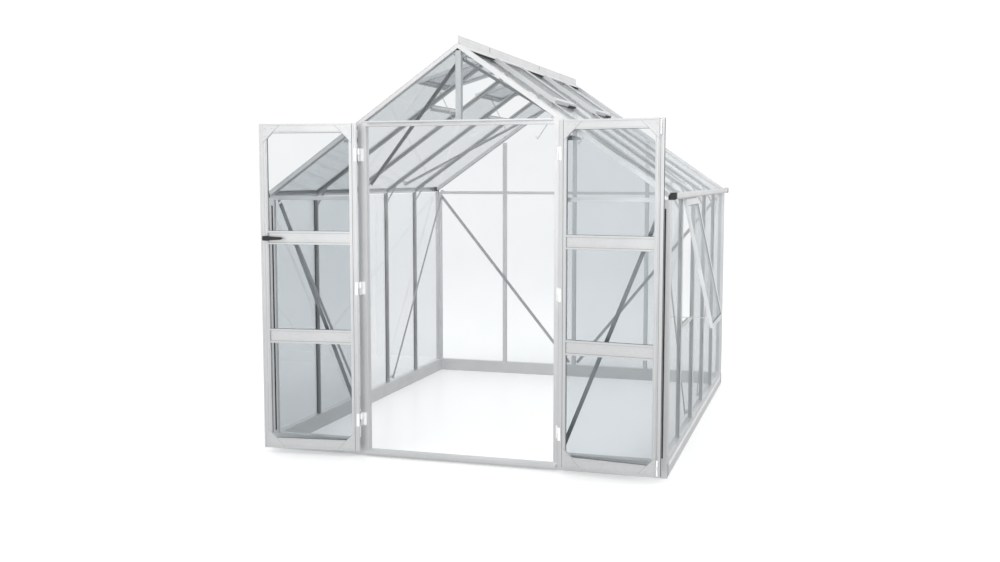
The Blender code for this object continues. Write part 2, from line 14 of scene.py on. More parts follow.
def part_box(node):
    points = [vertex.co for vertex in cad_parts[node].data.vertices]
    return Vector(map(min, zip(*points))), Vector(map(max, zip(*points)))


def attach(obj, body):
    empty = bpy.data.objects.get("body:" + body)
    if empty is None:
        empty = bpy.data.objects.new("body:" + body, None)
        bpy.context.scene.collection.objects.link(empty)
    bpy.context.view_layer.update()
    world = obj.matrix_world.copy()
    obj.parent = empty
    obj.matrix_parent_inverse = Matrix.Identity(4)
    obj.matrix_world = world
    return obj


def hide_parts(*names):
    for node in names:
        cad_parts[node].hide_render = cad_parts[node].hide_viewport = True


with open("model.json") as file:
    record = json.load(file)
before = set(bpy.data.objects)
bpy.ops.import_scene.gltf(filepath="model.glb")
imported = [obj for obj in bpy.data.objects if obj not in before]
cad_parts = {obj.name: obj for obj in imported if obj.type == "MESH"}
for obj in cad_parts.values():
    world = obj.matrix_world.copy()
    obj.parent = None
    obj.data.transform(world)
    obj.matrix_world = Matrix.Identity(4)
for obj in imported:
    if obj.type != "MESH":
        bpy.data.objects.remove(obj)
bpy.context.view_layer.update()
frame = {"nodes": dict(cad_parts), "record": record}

X, Y, Z = Vector((1, 0, 0)), Vector((0, 1, 0)), Vector((0, 0, 1))
SIDES = {"left": -1, "right": 1}

# Sizes that the CAD model is built to
BAY = 0.622
BAYS = 5
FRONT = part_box("door_frame")[1][1] - 0.046
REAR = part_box("base_rear")[1][1]
ENDS = ((FRONT, -1), (REAR, 1))
FIRST_BAR = FRONT + 0.010
BAR_HALF = 0.010
HALF_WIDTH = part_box("base_right")[1][0]
BASE_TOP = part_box("base_right")[1][2]
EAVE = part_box("gutter_right")[0][2]
APEX = 2.552
ROOF_TAN = 0.697
PITCH = math.atan(ROOF_TAN)
WALL_GLASS = 1.262
GLASS = 0.004
ROOF_GLASS = 0.022
BACK_MULLION = 0.635
BRACE_START = 0.0605
BRACE_TOP = 1.585
BRACE_DROP = 1.46
DOOR_OPENING = 0.600
DOOR_OPEN = math.radians(172.8)
VENT_BAYS = (1, 3)
VENT_HALF = 0.299
VENT_LENGTH = 0.494
VENT_OPEN = {"left": math.radians(19.0), "right": 0.0}
VENT_FRAME = 0.026
STAY_REACH = 0.4595
STAY_DROP = 0.026
WINDOW_BAY = 1
WINDOW_SILL = 0.787
WINDOW_HALF = 0.291
WINDOW_DROP = 0.827
WINDOW_OPEN = math.radians(12.5)

# Sizes that only the looks use
RIB_DEPTH = 0.018
STRUT_FACE = 0.0042

JOINTS = {joint["name"]: joint for joint in frame["record"]["behaviour"]["joints"]}


def bar_y(number):
    """Middle of a glazing bar, counted from zero at the front."""
    return FIRST_BAR + number * BAY


def bay_y(number):
    return bar_y(number) + BAY / 2


def roof_z(x, depth):
    """Height at x of the plane that lies a depth under the roof's outer plane."""
    return APEX - depth / math.cos(PITCH) - ROOF_TAN * abs(x)


def slope_frame(sign, along=0.0):
    """Axes of one roof slope from the ridge line: X down the slope, Y along the house, Z outwards."""
    down = Vector((sign * math.cos(PITCH), 0, -math.sin(PITCH)))
    out = Vector((sign * math.sin(PITCH), 0, math.cos(PITCH)))
    return framed((0, along, APEX), down, Y, out)


def slope_axes(roof):
    """Unit vectors down a slope and out of it."""
    turn = roof.to_3x3()
    return (turn @ X).normalized(), (turn @ Z).normalized()


def framed(place, a, b, c):
    """A matrix from an origin and three axes, which may be left-handed."""
    made = Matrix.Translation(Vector(place))
    for column, axis in enumerate((a, b, c)):
        made.col[column][:3] = axis
    return made


# Materials


def new_material(name):
    made = bpy.data.materials.new(name)
    made.use_nodes = True
    nodes, links = made.node_tree.nodes, made.node_tree.links
    return made, nodes, links, nodes["Principled BSDF"]


def noise(nodes, links, scale, detail=3.0, rough=0.5):
    """A noise texture on object coordinates, stretched by the scale along each axis."""
    place = nodes.new("ShaderNodeTexCoord")
    stretch = nodes.new("ShaderNodeMapping")
    stretch.inputs["Scale"].default_value = scale
    made = nodes.new("ShaderNodeTexNoise")
    made.inputs["Scale"].default_value = 1.0
    made.inputs["Detail"].default_value = detail
    made.inputs["Roughness"].default_value = rough
    links.new(place.outputs["Object"], stretch.inputs["Vector"])
    links.new(stretch.outputs["Vector"], made.inputs["Vector"])
    return made.outputs["Fac"]


def ramp(nodes, links, source, low, high, start=0.3, end=0.7):
    """Blend from one colour or value to another as a texture rises."""
    made = nodes.new("ShaderNodeValToRGB")
    for stop, value, place in zip(made.color_ramp.elements, (low, high), (start, end)):
        colour = value if isinstance(value, tuple) else (value, value, value)
        stop.color = (*colour, 1.0)
        stop.position = place
    links.new(source, made.inputs["Fac"])
    return made.outputs["Color"]


def bump(nodes, links, source, shader, strength, distance):
    made = nodes.new("ShaderNodeBump")
    made.inputs["Strength"].default_value = strength
    made.inputs["Distance"].default_value = distance
    links.new(source, made.inputs["Height"])
    links.new(made.outputs["Normal"], shader.inputs["Normal"])


def alloy(name, axis, dark, light, metallic=0.70):
    """Mill-finish aluminium with fine drawing lines along one axis and a cloudy sheen."""
    made, nodes, links, shader = new_material(name)
    lines = [420.0, 420.0, 420.0]
    lines["XYZ".index(axis)] = 2.5
    drawn = noise(nodes, links, lines, 4.0, 0.6)
    cloud = noise(nodes, links, (5.0, 5.0, 5.0), 4.0, 0.55)
    mixed = nodes.new("ShaderNodeMath")
    mixed.operation = "MULTIPLY_ADD"
    mixed.inputs[1].default_value = 0.6
    links.new(drawn, mixed.inputs[0])
    halved = nodes.new("ShaderNodeMath")
    halved.operation = "MULTIPLY"
    halved.inputs[1].default_value = 0.4
    links.new(cloud, halved.inputs[0])
    links.new(halved.outputs[0], mixed.inputs[2])
    links.new(ramp(nodes, links, mixed.outputs[0], dark, light, 0.38, 0.62), shader.inputs["Base Color"])
    links.new(ramp(nodes, links, mixed.outputs[0], 0.42, 0.30, 0.35, 0.65), shader.inputs["Roughness"])
    shader.inputs["Metallic"].default_value = metallic
    bump(nodes, links, drawn, shader, 0.10, 0.0004)
    return made


def glazing(name, dusty, clean):
    """Clear float glass: a faint tint, a soft sheen at a glancing angle and a trace of dust."""
    made, nodes, links, shader = new_material(name)
    dust = noise(nodes, links, (2.2, 2.2, 2.2), 5.0, 0.6)
    waves = noise(nodes, links, (1.6, 1.6, 1.6), 1.0, 0.4)
    shader.inputs["Metallic"].default_value = 1.0
    links.new(ramp(nodes, links, dust, (0.93, 0.94, 0.95), (0.97, 0.98, 0.99)), shader.inputs["Base Color"])
    links.new(ramp(nodes, links, dust, 0.01, 0.05, 0.45, 0.75), shader.inputs["Roughness"])
    bump(nodes, links, waves, shader, 0.02, 0.001)
    clear = nodes.new("ShaderNodeBsdfTransparent")
    links.new(ramp(nodes, links, dust, clean, dusty, 0.35, 0.75), clear.inputs["Color"])
    glance = nodes.new("ShaderNodeLayerWeight")
    glance.inputs["Blend"].default_value = 0.20
    sheen = nodes.new("ShaderNodeMath")
    sheen.operation = "MULTIPLY"
    sheen.inputs[1].default_value = 0.32
    links.new(glance.outputs["Fresnel"], sheen.inputs[0])
    mix = nodes.new("ShaderNodeMixShader")
    links.new(sheen.outputs[0], mix.inputs["Fac"])
    links.new(clear.outputs["BSDF"], mix.inputs[1])
    links.new(shader.outputs["BSDF"], mix.inputs[2])
    links.new(mix.outputs["Shader"], nodes["Material Output"].inputs["Surface"])
    return made


def moulded(name, dark, light, roughness, grain, height):
    """Plastic, rubber or enamel with a fine surface grain."""
    made, nodes, links, shader = new_material(name)
    fine = noise(nodes, links, (grain, grain, grain), 3.0, 0.6)
    cloud = noise(nodes, links, (14.0, 14.0, 14.0), 3.0, 0.5)
    links.new(ramp(nodes, links, cloud, dark, light), shader.inputs["Base Color"])
    links.new(ramp(nodes, links, fine, roughness + 0.06, roughness - 0.06), shader.inputs["Roughness"])
    bump(nodes, links, fine, shader, 0.25, height)
    return made


DARK_ALLOY, LIGHT_ALLOY = (0.66, 0.665, 0.67), (0.74, 0.743, 0.747)
ALLOY = {axis: alloy(f"aluminium_{axis}", axis, DARK_ALLOY, LIGHT_ALLOY) for axis in "XYZ"}
# Painted shade: a darker copy of the aluminium for the ribs and braces inside the house, which stand in
# shade.
SHADED_DARK, SHADED_LIGHT = (0.42, 0.425, 0.43), (0.54, 0.543, 0.547)
SHADE = {axis: alloy(f"shaded_aluminium_{axis}", axis, SHADED_DARK, SHADED_LIGHT, 0.80) for axis in "XYZ"}
STEEL = alloy("zinc_fixings", "Z", (0.55, 0.56, 0.57), (0.72, 0.73, 0.74), 0.95)
PANE = glazing("float_glass", (0.910, 0.921, 0.927), (0.924, 0.933, 0.938))
BLACK = moulded("black_plastic", (0.010, 0.010, 0.011), (0.022, 0.022, 0.024), 0.42, 1400.0, 0.0002)
RUBBER = moulded("black_rubber", (0.014, 0.014, 0.015), (0.030, 0.030, 0.032), 0.65, 900.0, 0.0003)
# Painted shadow: a dark grey for thin strips laid where grooves, gaps and plate edges fall into shade.
PAINTED_SHADOW = moulded("shadow_gap", (0.24, 0.245, 0.25), (0.31, 0.315, 0.32), 0.6, 500.0, 0.0001)
ENAMEL = moulded("white_enamel", (0.86, 0.86, 0.86), (0.93, 0.93, 0.93), 0.30, 700.0, 0.0001)


# Mesh building


class Piece:
    """One named piece of the object, gathered from simple solids and then bevelled."""

    def __init__(self, name, look, body="root", place=None, bevel=0.0006):
        self.name, self.look, self.body, self.bevel = name, look, body, bevel
        self.place = place or Matrix()
        self.mesh = bmesh.new()

    def solid(self, low, high):
        """Two matching rings of points joined into a closed solid."""
        first = [self.mesh.verts.new(self.place @ Vector(point)) for point in low]
        second = [self.mesh.verts.new(self.place @ Vector(point)) for point in high]
        faces = [self.mesh.faces.new(first), self.mesh.faces.new(second)]
        for i in range(len(first)):
            faces.append(self.mesh.faces.new((first[i - 1], first[i], second[i], second[i - 1])))
        bmesh.ops.recalc_face_normals(self.mesh, faces=faces)
        return self

    def rail(self, start, end, side, out, outline, cuts=(0.0, 0.0)):
        """An outline of (sideways, outwards) points run along a line, with mitred ends."""
        start, end, side, out = Vector(start), Vector(end), Vector(side), Vector(out)
        run = (end - start).normalized()
        low = [start + a * side + b * out + run * a * cuts[0] for a, b in outline]
        high = [end + a * side + b * out + run * a * cuts[1] for a, b in outline]
        return self.solid(low, high)

    def block(self, low, high):
        x0, y0, z0 = low
        x1, y1, z1 = high
        ring = [(x0, y0), (x1, y0), (x1, y1), (x0, y1)]
        return self.solid([(x, y, z0) for x, y in ring], [(x, y, z1) for x, y in ring])

    def plate(self, points, thickness):
        """A flat outline given a thickness vector."""
        step = Vector(thickness)
        return self.solid(points, [Vector(point) + step for point in points])

    def disc(self, centre, axis, radius, height, sides=20, top=1.0):
        """A round boss along an axis, its far end scaled by top."""
        axis = Vector(axis).normalized()
        across = axis.orthogonal().normalized()
        other = axis.cross(across)
        turns = [2 * math.pi * i / sides for i in range(sides)]
        ring = [across * math.cos(t) + other * math.sin(t) for t in turns]
        low = [Vector(centre) + point * radius for point in ring]
        high = [Vector(centre) + axis * height + point * radius * top for point in ring]
        return self.solid(low, high)

    def screw(self, centre, axis, radius=0.0042):
        """A pan-head screw: washer face and domed head."""
        axis = Vector(axis).normalized()
        self.disc(centre, axis, radius * 1.25, 0.0006, 16)
        self.disc(Vector(centre) + axis * 0.0006, axis, radius, 0.0014, 16)
        self.disc(Vector(centre) + axis * 0.0020, axis, radius, 0.0008, 16, 0.62)
        return self

    def done(self, *replaced):
        data = bpy.data.meshes.new(self.name)
        self.mesh.to_mesh(data)
        self.mesh.free()
        data.materials.append(self.look)
        made = bpy.data.objects.new(self.name, data)
        bpy.context.collection.objects.link(made)
        if self.bevel:
            soften(made, self.bevel)
        if replaced:
            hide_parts(*replaced)
        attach(made, self.body)
        return made


def add_bevel(made, width):
    edge = made.modifiers.new("edge", "BEVEL")
    edge.width = width
    edge.segments = 2
    edge.limit_method = "ANGLE"
    edge.angle_limit = math.radians(40)
    return edge


def soften(made, width):
    """Round the sharp edges a little, as extrusion and folding leave them."""
    made.data.shade_smooth()
    made.data.set_sharp_from_angle(angle=math.radians(35))
    add_bevel(made, width).harden_normals = True


def box_outline(width, depth):
    return [(0, 0), (width, 0), (width, depth), (0, depth)]


def grooved(width, depth, grooves, groove=0.0030, cut=0.0030):
    """A rectangular bar outline whose outer face carries narrow grooves at the given places."""
    outline = [(0, 0), (width, 0), (width, depth)]
    for middle in sorted(grooves, reverse=True):
        outline += [(middle + groove / 2, depth), (middle + groove / 2, depth - cut),
                    (middle - groove / 2, depth - cut), (middle - groove / 2, depth)]
    return outline + [(0, depth)]


# The looks of CAD nodes that keep their own shape


NODE_AXES = {
    "base_front": "X", "base_rear": "X", "base_left": "Y", "base_right": "Y", "ridge_beam": "Y",
    "front_rafters": "X", "rear_rafters": "X", "door_frame": "Z", "gable_post": "Z", "rear_frame": "Z",
}


def node_look(name):
    if "glass" in name:
        return PANE
    if name == "door_lever":
        return BLACK
    if name.startswith("door_bolt"):
        return ENAMEL
    # The braces take the darker aluminium as painted shade.
    if name.startswith("brace_"):
        return SHADE["Z"]
    if name in NODE_AXES:
        return ALLOY[NODE_AXES[name]]
    if name.startswith(("vent_", "roof_brace")):
        return ALLOY["Y"]
    return ALLOY["Z"]


def dress_nodes():
    for name, node in frame["nodes"].items():
        look = node_look(name)
        if node.material_slots:
            for place in node.material_slots:
                place.material = look
        else:
            node.data.materials.append(look)
        add_bevel(node, 0.0004 if look is PANE else 0.0008).use_clamp_overlap = True


# Base, posts and gutters


def make_base():
    """Lips and grooves along the base rails, corner brackets and the threshold's tread."""
    lips = Piece("base_lips_side", ALLOY["Y"])
    for sign in SIDES.values():
        start, end = FRONT + 0.052, REAR - 0.052
        face = sign * HALF_WIDTH
        for height in (0.047, 0.006):
            lips.rail((face, start, height), (face, end, height), Z, X * sign, box_outline(0.0035, 0.0016))
        lip = sign * (HALF_WIDTH - 0.009)
        lips.rail((lip, start, 0.088), (lip, end, 0.088), Z, X * sign, box_outline(0.011, 0.0045))
    lips.done()
    ends = Piece("base_lips_end", ALLOY["X"])
    depth = 0.0018
    for height in (0.006, 0.047, 0.092):
        ends.rail((-HALF_WIDTH, REAR, height), (HALF_WIDTH, REAR, height), Z, Y, box_outline(0.004, depth))
        for sign in SIDES.values():
            start, end = sign * (DOOR_OPENING + 0.058), sign * (HALF_WIDTH - 0.001)
            ends.rail((start, FRONT, height), (end, FRONT, height), Z, -Y, box_outline(0.004, depth))
    for step in range(4):
        y = FRONT - 0.024 + step * 0.009
        ends.rail((-0.585, y, 0.035), (0.585, y, 0.035), Y, Z, box_outline(0.003, 0.0008))
    ends.done()
    corners = Piece("base_corner_brackets", STEEL)
    fixings = Piece("base_screws", STEEL, bevel=0)
    for sign in SIDES.values():
        for face, out in ENDS:
            edge = sign * HALF_WIDTH
            x0, x1 = sorted((edge, edge + sign * 0.004))
            y0, y1 = sorted((face, face - out * 0.045))
            corners.block((x0, y0, 0.012), (x1, y1, 0.090))
            for height in (0.030, 0.072):
                fixings.screw((edge + sign * 0.004, face - out * 0.025, height), X * sign)
        for number in range(1, BAYS):
            fixings.screw((sign * (HALF_WIDTH - 0.009), bar_y(number), 0.078), X * sign, 0.0035)
    corners.done()
    fixings.done()


def make_posts():
    """Outer ribs and the black seal strip of the corner posts."""
    ribs = Piece("corner_post_ribs", ALLOY["Z"])
    seals = Piece("corner_seals", RUBBER, bevel=0.0004)
    for sign in SIDES.values():
        for face, out in ENDS:
            low, high = BASE_TOP + 0.004, EAVE - 0.006
            for offset in (0.0005, 0.0405):
                x = sign * (HALF_WIDTH - offset)
                ribs.rail((x, face, low), (x, face, high), -X * sign, Y * out, box_outline(0.005, 0.002))
            for offset in (0.001, 0.040):
                y = face - out * offset
                ribs.rail((sign * HALF_WIDTH, y, low), (sign * HALF_WIDTH, y, high), -Y * out, X * sign,
                          box_outline(0.005, 0.0022))
            x = sign * (HALF_WIDTH - 0.034)
            seals.rail((x, face, low + 0.015), (x, face, high - 0.045), X * sign, Y * out,
                       [(0, 0), (0.009, 0), (0.0075, 0.0035), (0.0015, 0.0035)])
    ribs.done()
    seals.done()


def make_gutters():
    """Rolled gutter troughs with a beaded lip and black end caps."""
    inner, outer, wall, brim = 1.272, 1.314, 0.0022, 1.664
    corner = 0.014

    def bend(radius):
        """The trough's rounded lower corner."""
        return [(outer - corner + radius * math.cos(turn), EAVE + corner + radius * math.sin(turn))
                for turn in (math.radians(15 * step - 90) for step in range(7))]

    outline = [(inner, EAVE)] + bend(corner)
    outline += [(outer, brim - 0.001), (outer - 0.0012, brim), (outer - 0.0060, brim)]
    outline += [(outer - 0.0060, brim - 0.003), (outer - wall, brim - 0.0045)] + bend(corner - wall)[::-1]
    outline += [(inner + wall, EAVE + wall), (inner + wall, EAVE + 0.005), (inner, EAVE + 0.005)]
    for side, sign in SIDES.items():
        trough = Piece(f"gutter_trough_{side}", ALLOY["Y"], bevel=0.0003)
        trough.rail((0, FRONT + 0.003, 0), (0, REAR - 0.003, 0), X * sign, Z, outline)
        trough.done(f"gutter_{side}")
    caps = Piece("gutter_end_caps", BLACK, bevel=0.0012)
    cover = [(inner - 0.003, EAVE - 0.0001), (outer - 0.004, EAVE - 0.0001), (outer + 0.0015, EAVE + 0.008),
             (outer + 0.0015, brim + 0.001), (inner + 0.012, brim + 0.001), (inner - 0.003, EAVE + 0.022)]
    skirt = [(outer, EAVE + 0.004), (outer + 0.0018, EAVE + 0.004), (outer + 0.0018, brim), (outer, brim)]
    for sign in SIDES.values():
        for face, out in ENDS:
            caps.rail((0, face + out * 0.003, 0), (0, face - out * 0.003, 0), X * sign, Z, cover)
            caps.rail((0, face - out * 0.003, 0), (0, face - out * 0.030, 0), X * sign, Z, skirt)
    caps.done()


# Bars, rafters and ridge


def cap_outline():
    """The outer face of a glazing bar: a shallow channel with a raised rim on each side."""
    half, rim, depth = BAR_HALF, 0.0028, 0.0068
    return [(-half, 0), (half, 0), (half, depth), (half - rim, depth), (half - rim, depth - 0.0026),
            (rim - half, depth - 0.0026), (rim - half, depth), (-half, depth)]


def make_bars():
    """The outer caps of the wall and roof bars, with rubber glazing seals beside the wall bars' caps."""
    for side, sign in SIDES.items():
        roof = slope_frame(sign)
        caps = Piece(f"bar_caps_roof_{side}", ALLOY["X"], bevel=0.0004)
        walls = Piece(f"bar_caps_wall_{side}", ALLOY["Z"], bevel=0.0004)
        seals = Piece(f"bar_seals_{side}", RUBBER, bevel=0)
        outline = cap_outline()
        strip = [(-0.0007, -0.0003), (0.0007, -0.0003), (0.0007, 0.0012), (-0.0007, 0.0012)]
        for number in range(1, BAYS):
            y = bar_y(number)
            start = roof @ Vector((0.050, y, -ROOF_GLASS + 0.0006))
            end = roof @ Vector((1.540, y, -ROOF_GLASS + 0.0006))
            _, out = slope_axes(roof)
            caps.rail(start, end, Y, out, outline)
            face = sign * (WALL_GLASS + GLASS + 0.0004)
            walls.rail((face, y, BASE_TOP + 0.001), (face, y, EAVE - 0.001), Y, X * sign, outline)
            for edge in (-1, 1):
                beside = y + edge * (BAR_HALF + 0.0008)
                seals.rail((face, beside, BASE_TOP + 0.001), (face, beside, EAVE - 0.001), Y, X * sign, strip)
        caps.done()
        walls.done()
        seals.done()


def bar_outline(depth):
    """A glazing bar's inner part: a flange under the glass, a thin web and a beaded edge."""
    half, web, bead = BAR_HALF, 0.0016, 0.0045
    right = [(half, 0), (half, -0.0030), (web, -0.0030), (web, 0.0040 - depth)]
    right += [(bead, 0.0040 - depth), (bead, -depth)]
    return right + [(-x, y) for x, y in reversed(right)]


def make_ribs():
    """T-section wall and roof bars with a bolted knee strut at each eave."""
    strut = [(-0.0055, 0), (0.0055, 0), (0.0055, 0.0022), (-0.0055, 0.0022)]
    for side, sign in SIDES.items():
        roof = slope_frame(sign)
        _, out = slope_axes(roof)
        for number in range(1, BAYS):
            y = bar_y(number)
            # The ribs take the darker aluminium as painted shade.
            wall = Piece(f"rib_bar_{side}_{number}", SHADE["Z"], bevel=0.0003)
            face = sign * (WALL_GLASS - 0.0004)
            wall.rail((face, y, BASE_TOP + 0.0008), (face, y, 1.630), Y, X * sign, bar_outline(RIB_DEPTH))
            start = roof @ Vector((0.0345, y, -ROOF_GLASS - GLASS - 0.0004))
            end = roof @ Vector((1.5500, y, -ROOF_GLASS - GLASS - 0.0004))
            wall.rail(start, end, Y, out, bar_outline(RIB_DEPTH))
            low = Vector((sign * 1.2515, y - STRUT_FACE, 1.550))
            high = Vector((sign * 1.1540, y - STRUT_FACE, 1.714))
            run = (high - low).normalized()
            wall.rail(low, high, run.cross(Y), Y, strut)
            wall.done(f"rib_{side}_{number}")


def make_brace_lugs():
    """Packing blocks that carry the low ends of the braces off their bars."""
    lugs = Piece("brace_lugs", ALLOY["Z"], bevel=0.0006)
    brace_face, bar_edge = 1.2276, 1.2438
    along, under = 1.376, -0.0611
    for sign in SIDES.values():
        roof = slope_frame(sign)
        down, out = slope_axes(roof)
        inner, outer = sorted((sign * brace_face, sign * bar_edge))
        for number, toward in ((2, -1), (3, 1)):
            near, far = sorted((bar_y(number) - toward * 0.002, bar_y(number) + toward * 0.040))
            lugs.block((inner, near, 0.128), (outer, far, 0.152))
            start = roof @ Vector((along, bar_y(number) - toward * 0.002, under))
            end = roof @ Vector((along, bar_y(number) + toward * 0.038, under))
            lugs.rail(start, end, down, out, box_outline(0.020, 0.0166))
    lugs.done()


def make_roof_braces():
    """Angle-section braces under the roof bars, joined by a plate under the ridge."""
    depth = 0.0610
    angle = [(-0.011, 0), (-0.011, -0.018), (-0.008, -0.018), (-0.008, -0.003), (0.011, -0.003), (0.011, 0)]
    ends = (("front", FRONT + 0.075, bar_y(2) - 0.030), ("rear", REAR - 0.075, bar_y(3) + 0.030))
    for end, top_y, low_y in ends:
        # The roof braces take the darker aluminium as painted shade.
        brace = Piece(f"roof_brace_angle_{end}", SHADE["Y"], bevel=0.0005)
        for sign in SIDES.values():
            roof = slope_frame(sign)
            start, finish = roof @ Vector((0.056, top_y, -depth)), roof @ Vector((1.400, low_y, -depth))
            _, out = slope_axes(roof)
            side = out.cross((finish - start).normalized()).normalized()
            brace.rail(start, finish, side, out, angle)
        level = roof_z(0, depth)
        brace.block((-0.030, top_y - 0.018, level - 0.0220), (0.030, top_y + 0.018, level - 0.0075))
        brace.done(f"roof_brace_{end}")


def make_rafter_trim():
    """Raised rims along the gable rafters, and the eave and corner plates that join them to the posts."""
    rims = Piece("rafter_rims", ALLOY["X"], bevel=0.0004)
    plates = Piece("eave_gussets", ALLOY["X"], bevel=0.0006)
    fixings = Piece("gable_screws", STEEL, bevel=0)
    for sign in SIDES.values():
        for face, out in ENDS:
            for depth in (0.0006, 0.0224):
                foot = 1.268
                start = (sign * 0.006, face, roof_z(0.006, depth))
                end = (sign * foot, face, roof_z(foot, depth))
                down = Vector((-sign * math.sin(PITCH), 0, -math.cos(PITCH)))
                rims.rail(start, end, down, Y * out, box_outline(0.004, 0.0020))
            inward = face - out * 0.0475
            corner = [(1.236, 1.590), (1.218, 1.602), (1.205, 1.640), (1.236, 1.640)]
            points = [(sign * x, inward, z) for x, z in corner]
            plates.plate(points, (0, -out * 0.0022, 0))
            for x, z in ((1.228, 1.606), (1.218, 1.630)):
                fixings.screw((sign * x, inward - out * 0.0022, z), -Y * out)
    half = 0.045
    apex = [(x, roof_z(x, 0.030)) for x in (-half, 0.0, half)] + [(0.0, roof_z(0, 0.075))]
    for face, out in ENDS:
        y = face - out * 0.0478
        plates.plate([(x, y, z) for x, z in apex], (0, -out * 0.0020, 0))
        for x in (-0.022, 0.022):
            fixings.screw((x, y - out * 0.0020, roof_z(x, 0.042)), -Y * out, 0.0034)
    rims.done()
    plates.done()
    fixings.done()


def make_ridge():
    """Beads on the ridge fin, with black strips painted as shadow in its notches and in the gaps under its
    flange.
    """
    trim = Piece("ridge_beads", ALLOY["Y"], bevel=0.0004)
    # Painted shadow: black strips in the fin's notches at two bars and in the gap under the flange along each
    # bay.
    joints = Piece("ridge_painted_shadows", RUBBER, bevel=0)
    start, end = FRONT + 0.012, REAR - 0.012
    # The bays below reuse start and end, so the right side's beads cover the last bay only
    for sign in SIDES.values():
        for height in (2.5905, 2.5560):
            x = sign * 0.003
            trim.rail((x, start, height), (x, end, height), Z, X * sign, box_outline(0.004, 0.0018))
        for number in (1, 3):
            y = bar_y(number)
            near, far = sorted((sign * 0.0030, sign * 0.0036))
            joints.block((near, y - 0.0025, 2.5605), (far, y + 0.0025, 2.5885))
        roof = slope_frame(sign)
        for number in range(BAYS):
            start = bar_y(number) + BAR_HALF + 0.004 if number else FRONT + 0.050
            end = bar_y(number + 1) - BAR_HALF - 0.004 if number < BAYS - 1 else REAR - 0.050
            level = roof @ Vector((0.0375, 0, -0.0216))
            down, out = slope_axes(roof)
            joints.rail(level + Y * start, level + Y * end, down, out, box_outline(0.0085, 0.0095))
    trim.done()
    joints.done()


# Panes


def make_panes():
    """Separate panes between the bars of the walls, the back and the roof."""
    low, high = BASE_TOP + 0.0005, EAVE - 0.004
    inset = 0.0016
    spans = []
    for number in range(BAYS):
        start = FRONT + 0.047 if number == 0 else bar_y(number) + inset
        end = REAR - 0.047 if number == BAYS - 1 else bar_y(number + 1) - inset
        spans.append((start, end))
    for side, sign in SIDES.items():
        x0, x1 = sorted((sign * WALL_GLASS, sign * (WALL_GLASS + GLASS)))
        walls = Piece(f"wall_panes_{side}", PANE, bevel=0.0004)
        for number, (start, end) in enumerate(spans):
            top = WINDOW_SILL if (side == "right" and number == WINDOW_BAY) else high
            walls.block((x0, start, low), (x1, end, top))
        walls.done(f"glass_{side}")
        roof = Piece(f"roof_panes_{side}", PANE, place=slope_frame(sign), bevel=0.0004)
        for number, (start, end) in enumerate(spans):
            top = 0.5250 if number in VENT_BAYS else 0.0340
            roof.block((top, start, -ROOF_GLASS - GLASS), (1.5780, end, -ROOF_GLASS))
        roof.done(f"glass_roof_{side}")
    back = Piece("back_panes", PANE, bevel=0.0004)
    near, under, reach = REAR - 0.008, 0.0276, HALF_WIDTH - 0.0465
    tie_low, tie_high = 1.6148, 1.6162
    edges = [-reach, -BACK_MULLION, 0.0, BACK_MULLION, reach]
    for first, second in zip(edges, edges[1:]):
        a, b = first + inset / 2, second - inset / 2
        lower = [(a, low), (b, low), (b, tie_low), (a, tie_low)]
        upper = [(a, tie_high), (b, tie_high), (b, roof_z(b, under)), (a, roof_z(a, under))]
        for corners in (lower, upper):
            back.plate([(x, near, z) for x, z in corners], (0, GLASS, 0))
    back.done("glass_rear")


def make_end_bars():
    """Outer caps of the back mullions, and the front side rails under the eaves."""
    caps = Piece("back_caps", ALLOY["Z"], bevel=0.0004)
    face = REAR - 0.0036
    for x, top in ((-BACK_MULLION, 2.05), (0.0, 2.49), (BACK_MULLION, 2.05)):
        caps.rail((x, face, BASE_TOP + 0.001), (x, face, top), X, Y, cap_outline())
    caps.done()
    post_edge, rail_foot, lip_foot, lip_top = 0.656, 1.609, 0.040, 2.058
    rails = Piece("front_side_rails", ALLOY["X"], bevel=0.0005)
    for sign in SIDES.values():
        start, end = sign * post_edge, sign * 1.2365
        for y, inward, outline in (
                (FRONT + 0.0085, Y, grooved(0.025, 0.020, (0.0125,))),
                (FRONT + 0.0035, -Y, grooved(0.025, 0.003, (0.0125,), cut=0.001))):
            rails.rail((start, y, rail_foot), (end, y, rail_foot), Z, inward, outline)
    rails.done()
    stubs = Piece("door_post_gussets", STEEL, bevel=0.0006)
    for sign in SIDES.values():
        outline = [(post_edge, 1.967), (0.752, 1.967), (0.752, 1.982), (0.700, 1.995), (post_edge, 1.995)]
        stubs.plate([(sign * x, FRONT + 0.010, z) for x, z in outline], (0, 0.004, 0))
    stubs.done()
    lips = Piece("door_post_lips", ALLOY["Z"], bevel=0.0004)
    for sign in SIDES.values():
        for offset in (0.0015, 0.0485):
            x = sign * (DOOR_OPENING + offset)
            lips.rail((x, FRONT, lip_foot), (x, FRONT, lip_top), X * sign, -Y, box_outline(0.005, 0.0008))
        x = sign * DOOR_OPENING
        for offset in (0.002, 0.039):
            y = FRONT + offset
            lips.rail((x, y, lip_foot), (x, y, lip_top), Y, -X * sign, box_outline(0.005, 0.0015))
    for height in (2.0645, 2.0795):
        lips.rail((-0.590, FRONT, height), (0.590, FRONT, height), Z, -Y, box_outline(0.003, 0.0008))
    lips.done()


# Doors


LEAF_START, LEAF = 0.023, 0.610
STILE_HINGE, STILE_FREE = 0.030, 0.050
LEAF_FACE, LEAF_BACK = 0.028, 0.0073
LEAF_END, LEAF_DEPTH = LEAF_START + LEAF, LEAF_FACE - LEAF_BACK
RAILS = ((0.037, 0.100), (0.712, 0.800), (1.334, 1.418), (2.026, 2.083))
LEAF_LOW, LEAF_HIGH = RAILS[0][0], RAILS[-1][1]
PANE_START, PANE_END = LEAF_START + STILE_HINGE, LEAF_END - STILE_FREE
HINGE_HEIGHTS = (0.234, 1.063, 1.890)
LEVER_HEIGHT, LEVER_INSET = 1.373, 0.036
BOLT_INSET = 0.018


